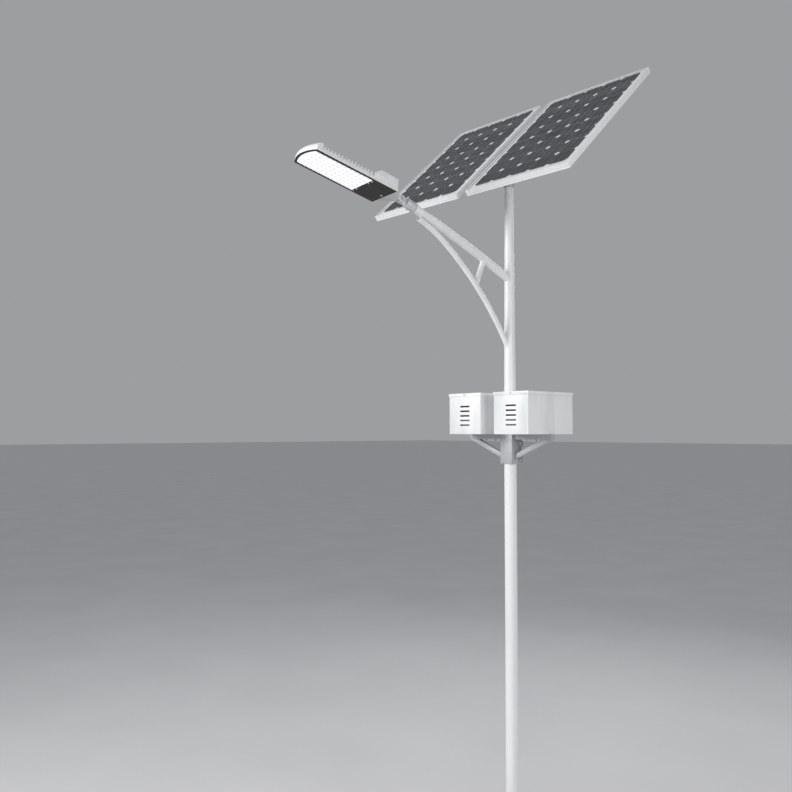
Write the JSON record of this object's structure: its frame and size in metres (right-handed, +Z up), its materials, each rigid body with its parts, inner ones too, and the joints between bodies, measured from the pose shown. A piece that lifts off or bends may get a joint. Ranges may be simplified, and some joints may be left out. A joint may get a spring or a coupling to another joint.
{
  "type": "solar street lamp",
  "caption": "Pole-mounted solar street lamp with tilted solar panels over a pair of battery boxes and a raked lamp arm carrying a finned LED luminaire",
  "frame": {"origin": "centre of the base plate's underside, on the pole's axis", "axes": "+Z up along the pole; -Y is the side that the louvred box faces and the low edge of the panels look to; +X is the near box side"},
  "size_m": [1.834, 2.2563, 6.6379],
  "materials": {
    "white_paint": "satin white powder coat on steel tube and sheet, slight orange peel",
    "galvanised_steel": "hot-dip galvanised steel, dull grey with faint spangle",
    "zinc_plate": "bright zinc-plated fasteners, hinges and locks",
    "cast_aluminium": "grey painted die casting with fine cast texture",
    "white_aluminium": "white powder-coated die-cast aluminium",
    "frame_aluminium": "silver anodised extrusion with fine draw lines",
    "backsheet": "white laminate sheet behind the cells",
    "cell": "monocrystalline silicon, near black with a blue cast and fine grid lines",
    "panel_glass": "clear low-iron tempered glass, lightly dusty",
    "black_plastic": "black moulded plastic",
    "black_cover": "black cover with a fine grain",
    "lens": "clear lens plate with a grid of lens domes, lit from behind",
    "led_board": "white solder mask",
    "led_chip": "pale yellow phosphor",
    "driver_case": "extruded aluminium case",
    "battery_case": "dark grey moulded case",
    "controller_case": "blue painted case",
    "foam": "closed-cell foam"
  },
  "bodies": {
    "pole": {"base_plate": "white_paint", "base_ribs": "white_paint", "pole_foot": "white_paint", "pole_lower": "white_paint", "pole_middle": "white_paint", "pole_upper": "white_paint", "door_hinge": "zinc_plate", "pole_electrics": "black_plastic", "bracket_channel": "galvanised_steel", "bracket_clamp": "galvanised_steel", "bracket_bolts": "zinc_plate", "bracket_arms": "galvanised_steel", "bracket_braces": "galvanised_steel", "arm_tube": "white_paint", "arm_stay": "white_paint", "arm_strut": "white_paint", "spigot_socket": "cast_aluminium", "socket_bolts": "zinc_plate", "near_shell": "white_paint", "near_battery": "battery_case", "far_shell": "white_paint", "far_battery": "battery_case", "lid_hinges": "zinc_plate", "controller": "controller_case", "box_liners": "foam", "box_glands": "black_plastic", "box_bolts": "zinc_plate"},
    "near_lid": {"near_lid": "white_paint"},
    "near_lock": {"near_lock": "zinc_plate"},
    "far_lid": {"far_lid": "white_paint"},
    "far_lock": {"far_lock": "zinc_plate"},
    "pole_door": {"pole_door": "white_paint"},
    "door_lock": {"door_lock": "zinc_plate"},
    "head": {"head_mount": "galvanised_steel", "head_screws": "zinc_plate"},
    "rack": {"rack_beam": "galvanised_steel", "rack_rails": "galvanised_steel", "rack_fixings": "zinc_plate", "left_frame": "frame_aluminium", "left_backsheet": "backsheet", "left_cells": "cell", "left_glass": "panel_glass", "right_frame": "frame_aluminium", "right_backsheet": "backsheet", "right_cells": "cell", "right_glass": "panel_glass", "junction_boxes": "black_plastic"},
    "luminaire": {"lum_adaptor": "cast_aluminium", "lum_housing": "white_aluminium", "lum_fins": "white_aluminium", "lum_nose": "white_aluminium", "lum_hump": "white_aluminium", "lum_bezel": "black_cover", "lum_lens": "lens", "led_board": "led_board", "led_chips": "led_chip", "lum_driver": "driver_case", "gear_pin": "zinc_plate"},
    "gear_door": {"gear_door": "black_cover"},
    "gear_latch": {"gear_latch": "zinc_plate"}
  },
  "joints": [
    {"name": "pole_door_hinge", "type": "hinge", "parent": "pole", "child": "pole_door", "pos_m": [-0.04206, 0.03386, 0.75], "axis": [0, 0, 1], "range_deg": [0, 110]},
    {"name": "door_lock_turn", "type": "hinge", "parent": "pole_door", "child": "door_lock", "pos_m": [0, 0.045, 0.868], "axis": [0, -1, 0], "range_deg": [0, 90]},
    {"name": "head_turn", "type": "hinge", "parent": "pole", "child": "head", "pos_m": [0, 0, 5.925], "axis": [0, 0, 1], "range_deg": [-30, 30]},
    {"name": "panel_tilt", "type": "hinge", "parent": "head", "child": "rack", "pos_m": [0, 0, 6.069], "axis": [1, 0, 0], "range_deg": [-27.5, 17.5]},
    {"name": "luminaire_tilt", "type": "hinge", "parent": "pole", "child": "luminaire", "pos_m": [-0.13981, -0.99481, 5.61473], "axis": [0.9903, -0.1392, 0], "range_deg": [-10, 15]},
    {"name": "gear_door_hinge", "type": "hinge", "parent": "luminaire", "child": "gear_door", "pos_m": [-0.18278, -1.30057, 5.65243], "axis": [-0.9903, 0.1392, 0], "range_deg": [0, 85]},
    {"name": "gear_latch_turn", "type": "hinge", "parent": "gear_door", "child": "gear_latch", "pos_m": [-0.16192, -1.15211, 5.61692], "axis": [0.036, 0.2563, 0.9659], "range_deg": [0, 90]},
    {"name": "near_lid_hinge", "type": "hinge", "parent": "pole", "child": "near_lid", "pos_m": [0.219, 0.2725, 4.282], "axis": [-1, 0, 0], "range_deg": [0, 100]},
    {"name": "far_lid_hinge", "type": "hinge", "parent": "pole", "child": "far_lid", "pos_m": [-0.219, 0.2725, 4.282], "axis": [-1, 0, 0], "range_deg": [0, 100]},
    {"name": "near_lock_turn", "type": "hinge", "parent": "near_lid", "child": "near_lock", "pos_m": [0.219, -0.266, 4.293], "axis": [0, 1, 0], "range_deg": [0, 90]},
    {"name": "far_lock_turn", "type": "hinge", "parent": "far_lid", "child": "far_lock", "pos_m": [-0.219, -0.266, 4.293], "axis": [0, 1, 0], "range_deg": [0, 90]}
  ]
}
